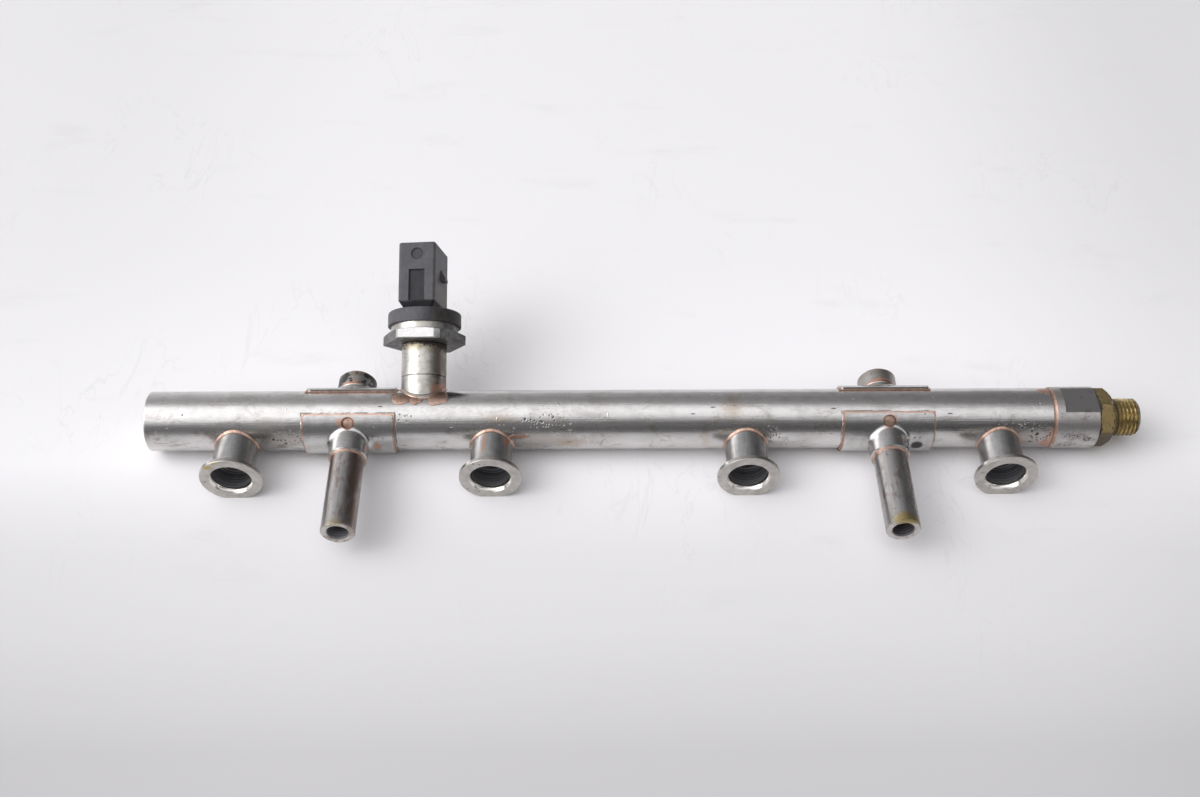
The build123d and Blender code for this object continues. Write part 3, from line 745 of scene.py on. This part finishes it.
def brassFinish():
    look = {
        "brass": (0.72, 0.55, 0.22),
        "dull": (0.29, 0.215, 0.11),
        "grime": (0.055, 0.045, 0.035),
        "roughness": 0.18,
        "hexStart": 167.8,
        "hexEnd": 173.4,
        "tip": 183.2,
        "cleanRadius": 6.85,
        "rootRadius": 6.25,
        "boreRadius": 4.2,
    }
    finish, shade = newFinish("unionBrass")
    place = inMillimetres(shade)
    x, y, z = split(railPlace(shade))
    radius = fromAxis(y, z)
    cloud = grain(place, 2.0, detail=4.0, rough=0.65)
    fine = grain(place, 0.35, detail=3.0)
    onThread = x.step(look["hexEnd"], look["hexEnd"] + 0.3)
    onHex = 1.0 - onThread
    dull = (cloud * 0.6 + fine * 0.4).step(0.34, 0.6).larger(onHex)

    # the thread's roots are darker; grime at its start and its lip and on the hexagon's edges;
    #     # painted shade in the bore's mouth, on the hexagon's lower flat and the thread's
    #     underside
    root = radius.step(look["cleanRadius"], look["rootRadius"]) * onThread
    start = (x + (cloud - 0.5) * 3.0).step(178.0, 175.0) * onThread
    edge = x.step(look["hexStart"] + 1.0, look["hexStart"]) * 0.35
    edge = edge + x.step(look["hexEnd"] - 1.8, look["hexEnd"]) * 0.16
    edge = edge + grain(place, 1.0, detail=4.0, rough=0.7)
    # painted shade on the hexagon's lower flat
    lowerFlatShade = (z + cloud * 0.6).step(3.5, 2.9) * y.step(-6.0, -8.0) * onHex
    # grime at the lip, and painted shade on the thread's lower half
    lipGrimeAndUnderShade = (x + (cloud - 0.5) * 1.5).step(look["tip"] - 1.2, look["tip"])
    lipGrimeAndUnderShade = lipGrimeAndUnderShade + (z + cloud * 4.0).step(1.0, -2.0) * onThread * 0.4
    # painted shade in the bore's mouth
    mouth = radius.step(look["boreRadius"] + 0.7, look["boreRadius"])
    grime = (edge.step(0.56, 0.68) * onHex).larger(root * (0.2 + cloud * 0.5)).larger(start * 0.7)
    grime = grime.larger(flecks(place, 1.5, 0.4, 0.4) * 0.7).larger(mouth * 0.8)
    grime = grime.larger(lowerFlatShade * 0.85).larger(lipGrimeAndUnderShade * 0.7)

    brass = (dull * 0.75).colour(look["brass"], look["dull"])
    brass = grime.smaller(1.0).colour(brass, look["grime"])
    cover(shade, Base_Color=brass, Roughness=look["roughness"] + dull * 0.18 + grime * 0.25,
          Metallic=1.0 - grime * 0.65, Normal=relief(fine * 0.6 + cloud * 0.8, 0.06))
    return finish


def adapterSteelFinish():
    look = {
        "steel": (0.56, 0.54, 0.53),
        "dull": (0.42, 0.40, 0.39),
        "flat": (0.34, 0.33, 0.33),
        "rust": (0.20, 0.12, 0.08),
        "soot": (0.06, 0.055, 0.05),
        "roughness": 0.3,
        "turnedRadius": 11.45,
        "flatStart": 153.0,
        # middles and half sizes of the patches
        "stainSpots": (
            ((157.5, -17.0, 14.5), (4.0, 2.5, 1.6)),
            ((163.0, -17.2, 13.0), (2.5, 2.0, 1.4)),
            ((156.0, -17.4, 9.5), (3.0, 2.0, 1.8)),
        ),
    }
    finish, shade = newFinish("adapterSteel")
    place = inMillimetres(shade)
    x, y, z = split(railPlace(shade))
    cloud = grain(place, 2.6, detail=4.0, rough=0.65)
    brushed = grain(place, 0.35, (0.25, 1.0, 1.0), detail=3.0)
    ragged = (grain(place, 1.1, detail=3.0) - 0.5) * 1.2
    stain = patches(place, ragged, look["stainSpots"], 0.7)
    soot = stain * grain(place, 0.6, detail=4.0).step(0.4, 0.62)
    soot = soot.larger(flecks(place, 2.4, 0.4, 0.4) * 0.6)
    rust = grain(place, 4.0, detail=4.0).step(0.56, 0.72) * 0.35
    # the spanner flats lie inside the turned radius
    flat = fromAxis(y, z).step(look["turnedRadius"] - 0.05, look["turnedRadius"] - 0.2)
    flat = flat * x.step(look["flatStart"], look["flatStart"] + 1.0)
    steel = (cloud * 0.6 + brushed * 0.4).step(0.34, 0.68).colour(look["steel"], look["dull"])
    steel = (flat * 0.85).colour(steel, look["flat"])
    steel = rust.colour(steel, look["rust"])
    steel = (soot * 0.8).colour(steel, look["soot"])
    rough = look["roughness"] + cloud * 0.14 + brushed * 0.06 + soot * 0.2
    cover(shade, Base_Color=steel, Roughness=rough,
          Metallic=1.0 - soot * 0.5, Normal=relief(brushed * 0.7 + cloud * 0.7, 0.05))
    return finish


def plainMetalFinish(name):
    looks = {
        "cellSteel": {
            "bright": (0.62, 0.60, 0.58),
            "dark": (0.45, 0.43, 0.42),
            "roughness": 0.25,
        },
        "pinPlating": {
            "bright": (0.72, 0.70, 0.66),
            "dark": (0.55, 0.53, 0.50),
            "roughness": 0.2,
        },
    }
    look = looks[name]
    finish, shade = newFinish(name)
    cloud = grain(inMillimetres(shade), 1.4, detail=4.0)
    cover(shade, Base_Color=cloud.step(0.35, 0.7).colour(look["bright"], look["dark"]),
          Roughness=look["roughness"] + cloud * 0.1, Metallic=1.0, Normal=relief(cloud, 0.03))
    return finish


def boardFinish():
    look = {"green": (0.02, 0.09, 0.045), "light": (0.03, 0.12, 0.06), "roughness": 0.4}
    finish, shade = newFinish("board")
    weave = grain(inMillimetres(shade), 0.4, detail=2.0)
    cover(shade, Base_Color=weave.step(0.4, 0.6).colour(look["green"], look["light"]),
          Roughness=look["roughness"] + weave * 0.1, Normal=relief(weave, 0.02))
    return finish


def floorFinish():
    look = {
        "mark": (0.60, 0.59, 0.60),
        "tint": (1.0, 0.988, 1.0),
        "roughness": 0.85,
        "shine": 0.2,
        # the paper's painted light, from in front of the rail (0) to behind it (1): darker in
        # front
        #         # and lightest round the rail, where it lifts the rail's shadow
        "front": -260.0,
        "back": 240.0,
        "paintedLightTones": ((0.0, 0.56), (0.16, 0.60), (0.2, 0.66), (0.27, 0.735), (0.36, 0.785),
                  (0.42, 0.86), (0.48, 0.96), (0.62, 0.92), (0.8, 0.87), (1.0, 0.85)),
        # how much painted shade darkens it towards the sides
        "rightShade": 0.15,
        "leftShade": 0.09,
    }
    finish, shade = newFinish("paper")
    place = inMillimetres(shade)
    x, y = split(place)[:2]
    # painted light from front to back, and painted shade towards the sides
    tone = shade.node("ValToRGB", {0: y.step(look["front"], look["back"])}, stops=look["paintedLightTones"])
    tone = tone.vector("MULTIPLY", tone, look["tint"])
    sideShade = x.step(100.0, 260.0) * look["rightShade"] + x.step(-100.0, -260.0) * look["leftShade"]
    tone = sideShade.colour(tone, (0.0, 0.0, 0.0))
    scuff = grain(place, 60.0, (1.0, 3.0, 1.0), detail=5.0, rough=0.6).step(0.56, 0.8) * 0.25
    thin = grain(place, 20.0, (1.0, 0.3, 1.0), detail=3.0, rough=0.6, twist=1.0)
    line = thin.maths("ABSOLUTE", thin - 0.5).step(0.012, 0.0)
    line = line * grain(place, 90.0, detail=2.0).step(0.5, 0.65)
    dots = flecks(place, 42.0, 0.8, 0.3)
    marks = scuff.larger(line * 0.18).larger(dots * 0.6)
    cover(shade, Base_Color=marks.colour(tone, look["mark"]), Roughness=look["roughness"],
          Specular_IOR_Level=look["shine"])
    return finish


finishes = {
    "tube_steel": tubeSteelFinish(),
    "adapter_steel": adapterSteelFinish(),
    "copper_braze": copperFinish(),
    "union_brass": brassFinish(),
    "boss_steel": bossSteelFinish(),
    "seal_rubber": sealRubberFinish(),
    "sensor_steel": sensorSteelFinish(),
    "cell_steel": plainMetalFinish("cellSteel"),
    "board": boardFinish(),
    "black_plastic": blackPlasticFinish(),
    "pin_plating": plainMetalFinish("pinPlating"),
    "cup_steel": cupSteelFinish(),
    "sleeve_steel": sleeveSteelFinish(),
    "saddle_steel": saddleSteelFinish(),
}
for node in cad.values():
    for holder in node.material_slots:
        holder.material = finishes[holder.material.name]
print("finishes made:", len(finishes))


def makeObject(shape, name, finish):
    mesh = bpy.data.meshes.new(name)
    shape.to_mesh(mesh)
    shape.free()
    mesh.materials.append(finish)
    made = bpy.data.objects.new(name, mesh)
    bpy.context.scene.collection.objects.link(made)
    return made


def keepPiece(shape, name, finishName, sharpAngle=32.0):
    bmesh.ops.remove_doubles(shape, verts=shape.verts, dist=0.002)
    bmesh.ops.recalc_face_normals(shape, faces=shape.faces)
    bmesh.ops.scale(shape, vec=(mm, mm, mm), verts=shape.verts)
    piece = makeObject(shape, name, finishes[finishName])
    piece.data.shade_smooth()
    piece.data.set_sharp_from_angle(angle=math.radians(sharpAngle))
    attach(piece, "root")
    return piece


def makeUnion():
    size = {
        "hexStart": 167.5, "hexLength": 6.1, "acrossFlats": 19.0, "turn": 42.0,
        "chamferDepth": 1.9, "chamferLand": 19.5, "chamferSteps": 10, "frontFace": 7.6,
        "backFace": 9.3, "backEdge": 9.5, "backChamfer": 0.3, "backRelief": 0.35,
        "threadRadius": 7.0, "threadDepth": 0.92, "pitch": 1.5, "runIn": 1.2,
        # the thread's flat root and its flank, as shares of half the pitch
        "rootShare": 0.14, "flankShare": 0.72,
        "reliefRadius": 6.2, "reliefLength": 1.6, "reliefRise": 0.5,
        "noseLength": 10.5, "noseChamfer": 1.1, "innerLength": 10.0, "innerChamfer": 1.1,
        "boreRadius": 4.0, "mouthRadius": 5.2, "mouthDepth": 1.2,
        "sides": 120, "fineStep": 0.1,
    }
    hexStart, thread = size["hexStart"], size["threadRadius"]
    hexEnd = hexStart + size["hexLength"]
    threadStart = hexEnd + size["reliefLength"]
    tip = hexEnd + size["noseLength"]
    back = hexStart - size["innerLength"]
    corner = size["acrossFlats"] / 2 / math.cos(math.pi / 6)
    chamferStart = hexEnd - size["chamferDepth"]
    landRadius = (size["chamferLand"] - size["chamferDepth"]) / 2

    # half the section, from the inner end over the hexagon and the thread to the bore
    outline = [(back, size["boreRadius"]), (back, thread - size["innerChamfer"])]
    outline += [(back + size["innerChamfer"], thread), (hexStart, thread)]
    outline += [(hexStart, size["backFace"]), (hexStart, size["backEdge"])]
    outline += [(hexStart + size["backChamfer"], corner)]
    steps = size["chamferSteps"]
    for step in range(steps + 1):
        outline.append((chamferStart + size["chamferDepth"] * step / steps, corner))
    outline += [(hexEnd, size["frontFace"]), (hexEnd, size["reliefRadius"])]
    outline += [(threadStart - size["reliefRise"], size["reliefRadius"])]
    steps = round((tip - threadStart) / size["fineStep"])
    for step in range(steps + 1):
        outline.append((threadStart + (tip - threadStart) * step / steps, thread))
    outline += [(tip, size["mouthRadius"]), (tip - size["mouthDepth"], size["boreRadius"])]

    shape = bmesh.new()
    rim = [shape.verts.new((x, radius, 0.0)) for x, radius in outline]
    edges = [shape.edges.new((rim[i], rim[(i + 1) % len(rim)])) for i in range(len(rim))]
    bmesh.ops.spin(shape, geom=rim + edges, cent=(0, 0, 0), axis=(1, 0, 0), angle=math.tau,
                   steps=size["sides"], use_merge=True)
    # pull the round blank in to the hexagon and cut the thread
    slope = (corner - landRadius) / size["chamferDepth"]
    for vert in shape.verts:
        x, y, z = vert.co
        radius = math.hypot(y, z)
        angle = math.atan2(z, y)
        if radius > thread + 1.5 and x < hexEnd + 0.01:
            fromFlat = (angle - math.radians(size["turn"])) % (math.pi / 3) - math.pi / 6
            flat = size["acrossFlats"] / 2 / math.cos(fromFlat)
            cone = corner - max(0.0, x - chamferStart) * slope
            wanted = min(flat, cone)
            if x < hexStart + 0.05:
                wanted = min(wanted, corner - size["backRelief"])
            if radius < size["backEdge"] + 0.1:
                wanted = min(radius, wanted)
        elif x > threadStart - 0.01 and radius > thread - 0.01:
            phase = (x / size["pitch"] - angle / math.tau) % 1.0
            rise = (abs(2 * phase - 1) - size["rootShare"]) / size["flankShare"]
            wanted = thread - size["threadDepth"] * (1 - min(1.0, max(0.0, rise)))
            wanted = min(wanted, thread - (x - tip + size["noseChamfer"]))
            wanted = min(wanted, size["reliefRadius"] + (x - threadStart) * size["runIn"])
        else:
            continue
        vert.co.y *= wanted / radius
        vert.co.z *= wanted / radius
    bmesh.ops.translate(shape, verts=shape.verts, vec=rail["axisPoint"])
    union = keepPiece(shape, "threaded_union", "union_brass", 40.0)
    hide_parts("inlet_union")


def makeCopperDrops():
    # where each drop lies along the tube and round it, its two half sizes, height and seed
    drops = {
        "copper_drop_1": (-90.2, 98.0, 3.9, 2.8, 0.3, 1.0),
        "copper_drop_2": (-84.4, 99.0, 2.6, 3.2, 0.28, 4.0),
        "copper_drop_3": (-76.9, 107.0, 3.9, 5.0, 0.45, 9.0),
    }
    wobble = 0.3
    baseRadius = rail["tubeRadius"] - 0.05
    axisY, axisZ = rail["axisPoint"][1:]
    for name, (place, degrees, halfLength, halfWidth, height, seed) in drops.items():
        shape = bmesh.new()
        bmesh.ops.create_icosphere(shape, subdivisions=5, radius=1.0)
        for vert in shape.verts:
            along, over, up = vert.co
            offPole = abs(along) + abs(over) > 0.001
            way = Vector((along, over, 0.0)).normalized() if offPole else Vector()
            uneven = 1.0 + wobble * noise.noise(way * 1.1 + Vector((seed, 0, 0)))
            lumps = 1.0 + wobble * noise.noise(Vector((along * 1.6, over * 1.6, seed)))
            x = place + along * halfLength * uneven
            turn = math.radians(degrees) + over * halfWidth * uneven / rail["tubeRadius"]
            radius = baseRadius + height * lumps * max(up, -0.3)
            vert.co = (x, axisY - radius * math.cos(turn), axisZ + radius * math.sin(turn))
        keepPiece(shape, name, "copper_braze")


makeUnion()
makeCopperDrops()
print("new pieces made")


def makeFloor():
    paper = {"half": 12.0, "parts": 4}
    shape = bmesh.new()
    bmesh.ops.create_grid(shape, x_segments=paper["parts"], y_segments=paper["parts"],
                          size=paper["half"])
    floor = makeObject(shape, "floor", floorFinish())


def lightTheSet():
    light = {
        "tint": (0.985, 0.98, 1.0),
        # how bright the room is, going over from the front (0) to the back (180 degrees)
        "room": ((0, 0.26), (10, 0.15), (30, 0.14), (48, 0.27), (90, 0.36), (125, 0.40),
                 (145, 0.36), (180, 0.6)),
        "roomLeft": 1.6,
        "roomRight": 0.28,
        "ceilingFront": ((50, 0.0), (66, 0.7), (78, 1.0)),
        "ceilingBack": ((102, 1.0), (117, 0.25), (126, 0.0)),
        # how far the ceiling's front and back edges come forward to the sides
        "frontSlant": 0.24,
        "backSlant": 0.34,
        "ceilingLeft": 1.34,
        "ceilingRight": 0.8,
        "window": 1.3,
    }
    world = bpy.data.worlds.new("studio")
    bpy.context.scene.world = world
    world.use_nodes = True
    world.node_tree.nodes.clear()
    shade = Shade(world.node_tree)
    x, y, z = split(shade.node("TexCoord", out=0))
    around = shade.maths("ARCTAN2", z, y * -1.0) * (1 / math.pi)

    def overhead(turn, stops):
        stops = [(degrees / 180, value) for degrees, value in stops]
        return shade.node("ValToRGB", {0: turn}, stops=stops)

    def leftToRight(left, right):
        return shade.node("MapRange", {0: x, 1: -0.5, 2: 0.5, 3: left, 4: right})

    room = overhead(around, light["room"]) * leftToRight(light["roomLeft"], light["roomRight"])
    frontEdge = around + shade.maths("ABSOLUTE", x) * light["frontSlant"]
    backEdge = around + x.larger(0.0) * light["backSlant"]
    ceiling = overhead(frontEdge, light["ceilingFront"]) * overhead(backEdge, light["ceilingBack"])
    ceiling = ceiling * leftToRight(light["ceilingLeft"], light["ceilingRight"])
    window = x.step(-0.4, -0.8) * z.step(0.1, 0.4) * y.step(0.75, 0.35) * light["window"]
    glow = shade.node("Background", {0: (*light["tint"], 1.0), 1: room + ceiling + window})
    shade.node("OutputWorld", {0: glow})

    softbox = {"width": 0.6, "depth": 0.5, "power": 2.0,
               "place": (-0.85, -0.1, 0.8), "aim": (-0.02, 0.0, 0.0)}
    lamp = bpy.data.lights.new("softbox", "AREA")
    lamp.shape = "RECTANGLE"
    lamp.size = softbox["width"]
    lamp.size_y = softbox["depth"]
    lamp.energy = softbox["power"]
    holder = bpy.data.objects.new("softbox", lamp)
    holder.location = softbox["place"]
    towards = Vector(softbox["aim"]) - Vector(softbox["place"])
    holder.rotation_euler = towards.to_track_quat("-Z", "Y").to_euler()
    bpy.context.scene.collection.objects.link(holder)


def placeCamera():
    shot = {
        "lens": 42.12,
        "sensor": 36.0,
        "place": (-0.02162669, -0.32676444, 0.42789723),
        "right": (0.99994726, -0.00921218, 0.00454034),
        "up": (0.0043869, 0.78284266, 0.62220424),
        "forward": (0.00928623, 0.62215151, -0.78284179),
    }
    lens = bpy.data.cameras.new("camera")
    lens.lens = shot["lens"]
    lens.sensor_width = shot["sensor"]
    camera = bpy.data.objects.new("camera", lens)
    backward = [-value for value in shot["forward"]]
    turn = Matrix((shot["right"], shot["up"], backward)).transposed()
    camera.matrix_world = Matrix.Translation(shot["place"]) @ turn.to_4x4()
    bpy.context.scene.collection.objects.link(camera)
    bpy.context.scene.camera = camera


makeFloor()
lightTheSet()
placeCamera()
bpy.context.scene.view_settings.view_transform = "Standard"
print("set ready")
